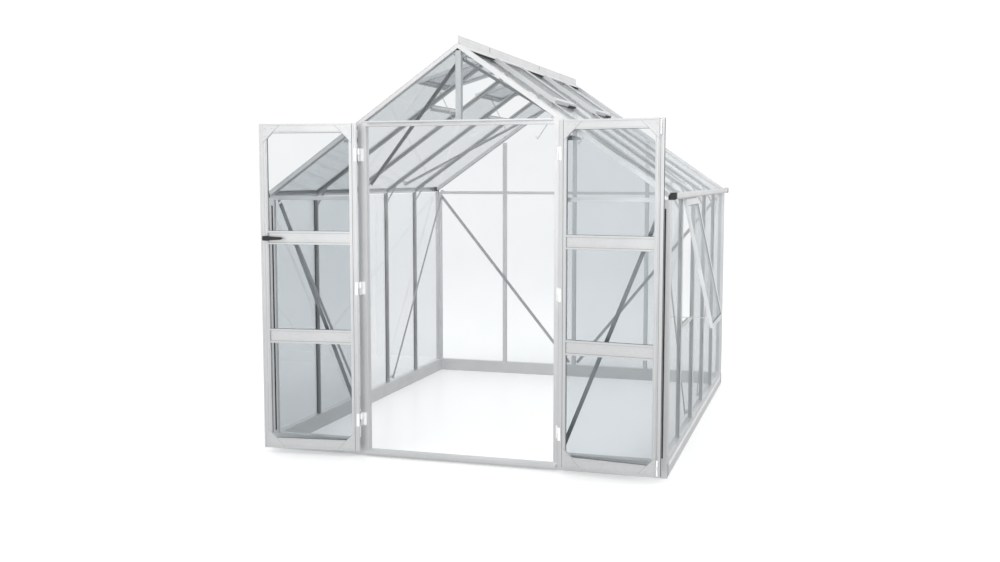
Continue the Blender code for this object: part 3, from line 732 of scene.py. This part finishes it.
def door_frame_matrix(side):
    """From a shut leaf (X from the hinge to the free edge, Y into the house) to where it stands open."""
    sign = SIDES[side]
    hinge = Vector(JOINTS[f"{side}_door_hinge"]["pos_m"])
    turn = Matrix.Translation(hinge) @ Matrix.Rotation(sign * DOOR_OPEN, 4, "Z")
    return turn @ Matrix.Diagonal((-sign, 1, 1, 1))


def make_leaf_stiles(side, body, place):
    """Grooved uprights, with the hinge flange and the channel that the right leaf's bolts slide in."""
    depth, low, high = LEAF_DEPTH, LEAF_LOW, LEAF_HIGH
    stiles = Piece(f"door_stiles_{side}", ALLOY["Z"], body, place, 0.0005)

    def upright(u, outline, start=low, end=high):
        stiles.rail((u, LEAF_BACK, start), (u, LEAF_BACK, end), X, Y, outline)

    upright(LEAF_START, grooved(STILE_HINGE, depth, (0.0105,)))
    wide = LEAF_START - 0.005
    flange = [(0, 0), (wide, 0), (wide, 0.0125), (0.0045, 0.0125), (0.0045, 0.0105),
              (0.0025, 0.0105), (0.0025, 0.0125), (0, 0.0125)]
    stiles.rail((0.005, 0.0125, low), (0.005, 0.0125, high), X, Y, flange)
    upright(PANE_END, grooved(STILE_FREE - 0.0268, depth, (0.0060, 0.0200)))
    upright(LEAF_END - 0.0268, box_outline(0.0018, depth))
    channel = LEAF_END - 0.0250
    if side == "right":
        upright(channel, box_outline(0.0155, depth - 0.0030), 0.1655, 1.9845)
        upright(channel, box_outline(0.0155, 0.0078))
    else:
        upright(channel, box_outline(0.0155, depth - 0.0030))
    upright(LEAF_END - 0.0095, box_outline(0.0095, depth))
    stiles.done(f"door_{side}")


def make_leaf_rails(side, body, place):
    """The bottom and top rails, and two mid rails with a recessed face."""
    depth = LEAF_DEPTH
    rails = Piece(f"door_rails_{side}", ALLOY["X"], body, place, 0.0005)
    for start, end in (RAILS[0], RAILS[-1]):
        height = end - start
        lines = (0.0125, height - 0.0060) if start < 1 else (0.0060, height - 0.0125)
        outline = grooved(height, depth, lines)
        rails.rail((PANE_START, LEAF_BACK, start), (PANE_END, LEAF_BACK, start), Z, Y, outline)
    for start, end in RAILS[1:3]:
        height = end - start
        lip, face = depth - 0.0004, depth - 0.0045
        bead = face + 0.0012
        outline = [(0, 0), (height, 0), (height, lip), (height - 0.012, lip), (height - 0.012, face),
                   (height - 0.022, face), (height - 0.022, bead), (0.024, bead), (0.024, face),
                   (0.011, face), (0.011, lip), (0, lip)]
        near, far = PANE_START + 0.0005, PANE_END - 0.0005
        rails.rail((near, LEAF_BACK, start), (far, LEAF_BACK, start), Z, Y, outline)
    rails.done()


def make_leaf_plates(side, body, place):
    """Corner plates with their screws, and painted shadow in the gaps and grooves between the leaf's parts.
    """
    gussets = Piece(f"door_corner_plates_{side}", ALLOY["X"], body, place, 0.0006)
    fixings = Piece(f"door_screws_{side}", STEEL, body, place, 0)
    # Painted shadow: dark grey strips along the corner plates' edges, in the mid rails' grooves and ends, and
    # in the stiles' channels.
    shadow_strips = Piece(f"door_plate_shadow_strips_{side}", PAINTED_SHADOW, body, place, 0)
    inset = 0.012
    for from_hinge in (True, False):
        for upper in (True, False):
            edge = LEAF_START if from_hinge else LEAF_END
            step = 1 if from_hinge else -1
            level = LEAF_HIGH if upper else LEAF_LOW
            rise = -1 if upper else 1
            near = inset if from_hinge else 0.0285
            reach = 0.132 if from_hinge else 0.143
            leg = reach - inset
            points = [(near, inset), (leg, inset), (near, reach - near)]
            corner = [(edge + step * a, LEAF_FACE + 0.0001, level + rise * b) for a, b in points]
            gussets.plate(corner, (0, 0.0011, 0))
            shadow_outline = [(leg, inset), (leg + 0.002, inset), (near, reach - near + 0.002), (near, reach - near)]
            corner = [(edge + step * a, LEAF_FACE - 0.0010, level + rise * b) for a, b in shadow_outline]
            shadow_strips.plate(corner, (0, 0.0013, 0))
            width = STILE_HINGE if from_hinge else STILE_FREE
            rail_height = (RAILS[-1][1] - RAILS[-1][0]) if upper else (RAILS[0][1] - RAILS[0][0])
            filler = [(width, rail_height), (reach - rail_height, rail_height), (width, reach - width)]
            corner = [(edge + step * a, LEAF_BACK + 0.001, level + rise * b) for a, b in filler]
            gussets.plate(corner, (0, LEAF_DEPTH, 0))
            for a, b in ((0.040, 0.030), (0.085, 0.030), (0.040, 0.078)):
                fixings.screw((edge + step * a, LEAF_FACE + 0.0012, level + rise * b), Y, 0.0030)
    sunk = LEAF_FACE - 0.0060
    for start, end in RAILS[1:3]:
        for u in (PANE_START + 0.012, PANE_END - 0.012):
            fixings.screw((u, LEAF_BACK + LEAF_DEPTH - 0.0033, (start + end) / 2), Y, 0.0032)
        for z in (start + 0.0112, end - 0.0134):
            shadow_strips.block((PANE_START + 0.0010, sunk, z), (PANE_END - 0.0010, LEAF_FACE - 0.0038, z + 0.0022))
        u = PANE_START + 0.0006 if side == "right" else PANE_END - 0.0056
        shadow_strips.block((u, sunk, start + 0.0115), (u + 0.0050, LEAF_FACE - 0.0030, end - 0.0125))
    near, far = LEAF_START + 0.0098, LEAF_START + 0.0112
    shadow_strips.block((near, LEAF_FACE - 0.0032, LEAF_LOW), (far, LEAF_FACE - 0.0014, LEAF_HIGH))
    if side == "right":
        near, far = LEAF_END - 0.0212, LEAF_END - 0.0182
        shadow_strips.block((near, LEAF_FACE - 0.0034, 0.1660), (far, LEAF_FACE - 0.0024, 1.9840))
    gussets.done()
    fixings.done()
    shadow_strips.done()


def make_leaf_panes(side, body, place):
    """Three panes and their rubber seals."""
    panes = Piece(f"door_panes_{side}", PANE, body, place, 0.0004)
    seals = Piece(f"door_seals_{side}", RUBBER, body, place, 0)
    hold, width = 0.009, 0.0016
    for (_, foot), (head, _) in zip(RAILS, RAILS[1:]):
        panes.block((PANE_START - hold, 0.0030, foot - hold), (PANE_END + hold, 0.0070, head + hold))
        for u in (PANE_START, PANE_END - width):
            seals.block((u, 0.0072, foot), (u + width, 0.0095, head))
        for z in (foot, head - width):
            seals.block((PANE_START, 0.0072, z), (PANE_END, 0.0095, z + width))
    seals.block((LEAF_END - 0.0002, 0.0120, LEAF_LOW + 0.004), (LEAF_END + 0.0018, 0.0160, LEAF_HIGH - 0.004))
    panes.done(f"door_glass_{side}")
    seals.done()


def make_door(side):
    """A leaf and the hinges it swings on."""
    body, place = f"{side}_door", door_frame_matrix(side)
    for make in (make_leaf_stiles, make_leaf_rails, make_leaf_plates, make_leaf_panes, make_hinges):
        make(side, body, place)


def make_hinges(side, body, place):
    """White butt hinges: the leaf's plates and round knuckle, the post's plate, and flush screw heads."""
    plates = Piece(f"door_hinges_{side}", ENAMEL, body, place, 0.0008)
    pins = Piece(f"hinge_screws_{side}", ENAMEL, body, place, 0)
    caps = Piece(f"hinge_post_plates_{side}", ENAMEL, "root", None, 0.0008)
    heads = Piece(f"hinge_post_screws_{side}", ENAMEL, "root", None, 0)
    sign = SIDES[side]
    for height in HINGE_HEIGHTS:
        low, high, foot = height + 0.0006, height + 0.0395, height - 0.0395
        plates.block((0.0, 0.0018, low), (LEAF_START + 0.001, 0.0048, high))
        plates.block((LEAF_START - 0.0030, 0.0018, low), (LEAF_START - 0.0004, 0.0282, high))
        plates.disc((0, 0, low), Z, 0.0062, high - low, 24)
        plates.block((0.0060, 0.0242, foot), (LEAF_START + 0.001, 0.0262, high))
        for z in (height - 0.024, height - 0.008):
            pins.disc((0.0150, 0.0262, z), Y, 0.0024, 0.0004, 16)
        x0, x1 = sorted((sign * 0.6148, sign * 0.6548))
        caps.block((x0, FRONT - 0.0026, foot), (x1, FRONT - 0.0018, high))
        for z in (height - 0.024, height + 0.026):
            heads.disc((sign * 0.6215, FRONT - 0.0026, z), -Y, 0.0024, 0.0004, 16)
    plates.done()
    pins.done()
    caps.done()
    heads.done()


def make_lever():
    """The black lever handle: a round rose and a tapering arm on each face of the leaf."""
    place = door_frame_matrix("left")
    arm = Piece("door_lever_arm", BLACK, "lever", place, 0.0022)
    centre = (LEAF_END - LEVER_INSET, (0.003 + LEAF_FACE) / 2, LEVER_HEIGHT)
    shape = [(0.015, -0.014), (0.017, 0.0), (0.015, 0.014), (-0.018, 0.0150), (-0.032, 0.0110),
             (-0.098, 0.0080), (-0.113, 0.0040), (-0.113, -0.0050), (-0.098, -0.0090),
             (-0.032, -0.0120), (-0.018, -0.0160)]
    for out in (-1, 1):
        y = centre[1] + out * 0.0300
        arm.plate([(centre[0] + a, y, centre[2] + b) for a, b in shape], (0, out * 0.0115, 0))
        arm.disc((centre[0], centre[1] + out * 0.0128, centre[2]), Y * out, 0.0125, 0.0030, 28)
        arm.disc((centre[0], centre[1] + out * 0.0158, centre[2]), Y * out, 0.0080, 0.0150, 28)
    arm.disc((centre[0], centre[1] - 0.0135, centre[2]), Y, 0.0060, 0.0270, 20)
    arm.done("door_lever")


def make_bolts():
    """White shoot bolts with a ridged thumb grip."""
    place = door_frame_matrix("right")
    middle = LEAF_END - BOLT_INSET
    for name, low, high in (("top", 1.991, 2.074), ("bottom", 0.046, 0.138)):
        bolt = Piece(f"shoot_bolt_{name}", ENAMEL, f"{name}_bolt", place, 0.0012)
        bolt.block((middle - 0.0060, 0.0165, low), (middle + 0.0060, 0.0272, high))
        centre = (low + high) / 2
        for step in range(-2, 3):
            z = centre + step * 0.0050
            crest = 0.0365 - abs(step) * 0.0015
            bolt.block((middle - 0.0048, 0.0265, z - 0.0016), (middle + 0.0048, crest, z + 0.0016))
        bolt.done(f"door_bolt_{name}")


# Vents and window


def add_fork(fork, low, high, pin):
    """Two cheeks between two (along, up) corners, and the pin between them that a stay hangs on."""
    for edge in (-1, 1):
        near, far = sorted((edge * 0.0085, edge * 0.0105))
        fork.block((low[0], near, low[1]), (high[0], far, high[1]))
    fork.disc((pin[0], -0.0125, pin[1]), Y, 0.0018, 0.0250, 16)
    fork.done()


def make_vent(side, index):
    """Sill bar, black seals, a black strip painted as shadow under the lower rail, corner screws, glazing
    beads and stay bracket of one roof vent.
    """
    sign = SIDES[side]
    label = f"{side}_{index + 1}"
    number = VENT_BAYS[index]
    roof = slope_frame(sign, bay_y(number))
    half = BAY / 2 - BAR_HALF - 0.001
    sill = Piece(f"vent_sill_{label}", ALLOY["Y"], "root", roof, 0.0005)
    sill.block((0.524, -half, -0.055), (0.540, half, -0.0270))
    sill.block((0.520, -half, -0.0575), (0.546, half, -0.0545))
    for y in (-0.05, 0.05):
        sill.disc((0.5215, y, -0.0545), Z, 0.0030, 0.016, 16)
    sill.done()
    seal = Piece(f"vent_sill_seal_{label}", RUBBER, "root", roof, 0)
    seal.block((0.5255, -half + 0.01, -0.0270), (0.5330, half - 0.01, -0.0215))
    seal.done()
    hinge = Vector(JOINTS[f"vent_{label}_hinge"]["pos_m"])
    turn = Matrix.Rotation(sign * (PITCH - VENT_OPEN[side]), 4, "Y")
    local = Matrix.Translation(hinge) @ turn @ Matrix.Diagonal((sign, 1, 1, 1))
    body = f"vent_{label}"
    beads = Piece(f"vent_beads_{label}", ALLOY["X"], body, local, 0.0004)
    for edge in (-1, 1):
        outer, inner = edge * VENT_HALF, edge * (VENT_HALF - VENT_FRAME)
        for y in (outer - edge * 0.0045, inner + edge * 0.0005):
            low, high = sorted((y, y + edge * 0.0040))
            beads.block((0.006, low, 0.0040), (VENT_LENGTH - 0.004, high, 0.0058))
    reach = VENT_HALF - 0.004
    for start, end in ((0.0395, 0.0350), (0.0060, 0.0015)):
        beads.block((VENT_LENGTH - start, -reach, 0.0040), (VENT_LENGTH - end, reach, 0.0056))
    beads.done()
    seals = Piece(f"vent_seals_{label}", RUBBER, body, local, 0)
    inner = VENT_HALF - VENT_FRAME
    for edge in (-1, 1):
        low, high = sorted((edge * inner, edge * (inner - 0.0025)))
        seals.block((0.0275, low, -0.0075), (VENT_LENGTH - 0.0405, high, -0.0055))
    # Painted shadow: a black strip on the lower rail's down-slope face, where the gap under the rail falls
    # into shade.
    seals.block((VENT_LENGTH - 0.0002, 0.090, -0.0195), (VENT_LENGTH + 0.0018, VENT_HALF - 0.003, -0.0070))
    seals.block((0.0275, -inner, -0.0075), (0.0300, inner, -0.0055))
    seals.block((VENT_LENGTH - 0.0430, -inner, -0.0075), (VENT_LENGTH - 0.0405, inner, -0.0055))
    seals.done()
    screws = Piece(f"vent_screws_{label}", STEEL, body, local, 0)
    for edge in (-1, 1):
        for u in (0.015, VENT_LENGTH - 0.020):
            screws.screw((u, edge * (VENT_HALF - 0.013), 0.0042), Z, 0.0034)
    screws.done()
    mount = Piece(f"vent_stay_bracket_{label}", STEEL, body, local, 0.0005)
    add_fork(mount, (0.4525, -0.0300), (0.4665, -0.0202), (STAY_REACH, -STAY_DROP))


def make_window():
    """Frame, pane, seals, catch and screws of the side window."""
    turn = Matrix.Rotation(-WINDOW_OPEN, 4, "Y")
    local = Matrix.Translation(Vector(JOINTS["window_hinge"]["pos_m"])) @ turn
    half, drop, depth = WINDOW_HALF, WINDOW_DROP, 0.0215
    stile, foot, head = 0.016, 0.024, 0.042
    inner, low, high = half - stile, -drop + foot, -head
    rim = Piece("window_frame", ALLOY["Z"], "window", local, 0.0005)
    outline = [(0, -depth), (stile, -depth), (stile, 0.0), (stile - 0.003, 0.0), (stile - 0.003, -0.003),
               (stile - 0.006, -0.003), (stile - 0.006, 0.0), (0, 0.0)]
    for edge in (-1, 1):
        rim.rail((0, edge * inner, -drop), (0, edge * inner, 0), Y * edge, X, outline)
    for z, height, lines in ((-drop, foot, (foot / 2,)), (high, head, (0.008, head - 0.008))):
        rim.rail((-depth, -inner, z), (-depth, inner, z), Z, X, grooved(height, depth, lines))
    rim.done("side_window")
    pane = Piece("window_pane", PANE, "window", local, 0.0004)
    pane.block((-0.0110, -inner + 0.0004, low + 0.0004), (-0.0070, inner - 0.0004, high - 0.0004))
    pane.done("side_window_glass")
    seals = Piece("window_seals", RUBBER, "window", local, 0)
    seals.block((-0.0200, half - 0.0002, -drop + 0.003), (-0.0040, half + 0.0014, -0.003))
    for edge in (-1, 1):
        a, b = sorted((edge * inner, edge * (inner - 0.0025)))
        seals.block((-0.0069, a, low), (-0.0050, b, high))
    for start, end in ((low, low + 0.0025), (high - 0.0025, high)):
        seals.block((-0.0069, -inner, start), (-0.0050, inner, end))
    seals.done()
    catch = Piece("window_catch", STEEL, "window", local, 0.0006)
    add_fork(catch, (-0.0350, -drop + 0.024), (-0.0225, -drop + 0.040), (-0.0300, -drop + 0.032))
    screws = Piece("window_screws", STEEL, "window", local, 0)
    for edge in (-1, 1):
        for z in (-0.021, -drop + 0.0055):
            screws.screw((0.0002, edge * (half - 0.040), z), X, 0.0030)
    screws.done()


def make_window_bars():
    """The fixed sill with two stay pegs, and the head bar that the side window hangs from."""
    sill = Piece("window_sill", ALLOY["Y"], bevel=0.0005)
    start, end = bar_y(WINDOW_BAY) + BAR_HALF + 0.001, bar_y(WINDOW_BAY + 1) - BAR_HALF - 0.001
    section = [(0, 0), (0.0375, 0), (0.0375, 0.003), (0.0330, 0.003), (0.0330, 0.022), (0.0300, 0.022),
               (0.0300, 0.003), (0.003, 0.003), (0.003, 0.010), (0, 0.010)]
    sill.rail((1.2280, start, WINDOW_SILL), (1.2280, end, WINDOW_SILL), X, Z, section)
    middle = bay_y(WINDOW_BAY)
    for y in (middle - 0.035, middle + 0.035):
        sill.disc((1.2330, y, WINDOW_SILL + 0.003), Z, 0.0028, 0.014, 16)
    sill.done()
    head = Piece("window_head", ALLOY["Y"], bevel=0.0005)
    head.rail((1.2370, start, 1.602), (1.2370, end, 1.602), X, Z, box_outline(0.0285, 0.018))
    head.done()


def make_brace_fixings():
    """Bolts at the ends of the flat braces and where the knee struts meet their bars."""
    bolts = Piece("brace_bolts", STEEL, bevel=0)
    face = WALL_GLASS - 0.0003 - 0.034 - 0.0045
    for sign in SIDES.values():
        for (end_y, out), low_y in zip(ENDS, (bar_y(2) - 0.025, bar_y(3) + 0.025)):
            corner = end_y - out * BRACE_START
            run = low_y - corner
            for share in ((end_y - out * 0.070 - corner) / run, 0.975):
                place = (sign * face, corner + share * run, BRACE_TOP - share * BRACE_DROP)
                bolts.screw(place, -X * sign, 0.0048)
        for number in range(1, BAYS):
            for x, z in ((1.2440, 1.5627), (1.1650, 1.6955)):
                bolts.screw((sign * x, bar_y(number) - STRUT_FACE, z), -Y, 0.0036)
    bolts.done()


# The scene around the object


def make_floor():
    """A wide white floor with a faint sheen."""
    data = bpy.data.meshes.new("studio_floor")
    reach, far = 60.0, 90.0
    corners = [(-reach, -reach, 0), (reach, -reach, 0), (reach, far, 0), (-reach, far, 0)]
    data.from_pydata(corners, [], [(0, 1, 2, 3)])
    floor = bpy.data.objects.new("studio_floor", data)
    bpy.context.collection.objects.link(floor)
    made, nodes, links, shader = new_material("studio_white")
    shader.inputs["Base Color"].default_value = (0.93, 0.93, 0.93, 1)
    shader.inputs["Roughness"].default_value = 0.28
    shader.inputs["Specular IOR Level"].default_value = 0.35
    shader.inputs["Emission Color"].default_value = (1, 1, 1, 1)
    shader.inputs["Emission Strength"].default_value = 0.10
    data.materials.append(made)
    floor.visible_glossy = False


def make_light(name, place, target, size, energy):
    lamp = bpy.data.lights.new(name, "AREA")
    lamp.shape = "RECTANGLE"
    lamp.size, lamp.size_y = size
    lamp.energy = energy
    made = bpy.data.objects.new(name, lamp)
    made.location = place
    made.rotation_euler = (Vector(target) - Vector(place)).to_track_quat("-Z", "Y").to_euler()
    bpy.context.collection.objects.link(made)


def make_studio():
    world = bpy.data.worlds.new("studio")
    bpy.context.scene.world = world
    world.use_nodes = True
    nodes, links = world.node_tree.nodes, world.node_tree.links
    back = nodes["Background"]
    place = nodes.new("ShaderNodeTexCoord")
    split = nodes.new("ShaderNodeSeparateXYZ")
    links.new(place.outputs["Generated"], split.inputs["Vector"])
    sky = nodes.new("ShaderNodeValToRGB")
    stops = sky.color_ramp.elements
    stops[0].position, stops[0].color = 0.40, (0.46, 0.47, 0.48, 1)
    stops[1].position, stops[1].color = 0.54, (0.95, 0.95, 0.95, 1)
    half = nodes.new("ShaderNodeMath")
    half.operation = "MULTIPLY_ADD"
    half.inputs[1].default_value = 0.5
    half.inputs[2].default_value = 0.5
    links.new(split.outputs["Z"], half.inputs[0])
    links.new(half.outputs[0], sky.inputs["Fac"])
    path = nodes.new("ShaderNodeLightPath")
    mix = nodes.new("ShaderNodeMix")
    mix.data_type = "RGBA"
    links.new(path.outputs["Is Camera Ray"], mix.inputs["Factor"])
    links.new(sky.outputs["Color"], mix.inputs["A"])
    mix.inputs["B"].default_value = (1.0, 1.0, 1.0, 1)
    links.new(mix.outputs["Result"], back.inputs["Color"])
    back.inputs["Strength"].default_value = 1.05
    make_light("key", (-4.5, -7.0, 7.0), (0, 1, 1), (6, 5), 120)
    make_light("front", (2.5, -9.5, 1.8), (0, 0, 0.9), (9, 4), 190)
    make_light("fill", (8.0, 0.5, 4.0), (0, 1.5, 1), (6, 5), 190)
    make_light("top", (0, 1.5, 8.0), (0, 1.5, 0), (8, 8), 120)
    bpy.context.scene.view_settings.view_transform = "Standard"


def make_camera():
    lens = bpy.data.cameras.new("camera")
    lens.lens = 39.61
    lens.sensor_width = 36.0
    camera = bpy.data.objects.new("camera", lens)
    camera.location = (2.1846, FRONT - 6.2954, 1.7494)
    camera.rotation_euler = (math.radians(90 - 5.3645), 0, math.radians(16.956))
    bpy.context.collection.objects.link(camera)
    bpy.context.scene.camera = camera


make_camera()
dress_nodes()
make_base()
make_posts()
make_gutters()
make_bars()
make_ribs()
make_brace_lugs()
make_roof_braces()
make_rafter_trim()
make_ridge()
make_panes()
make_end_bars()
for door_side in SIDES:
    make_door(door_side)
make_lever()
make_bolts()
for vent_side in SIDES:
    for vent_index in range(len(VENT_BAYS)):
        make_vent(vent_side, vent_index)
make_window()
make_window_bars()
make_brace_fixings()
make_floor()
make_studio()
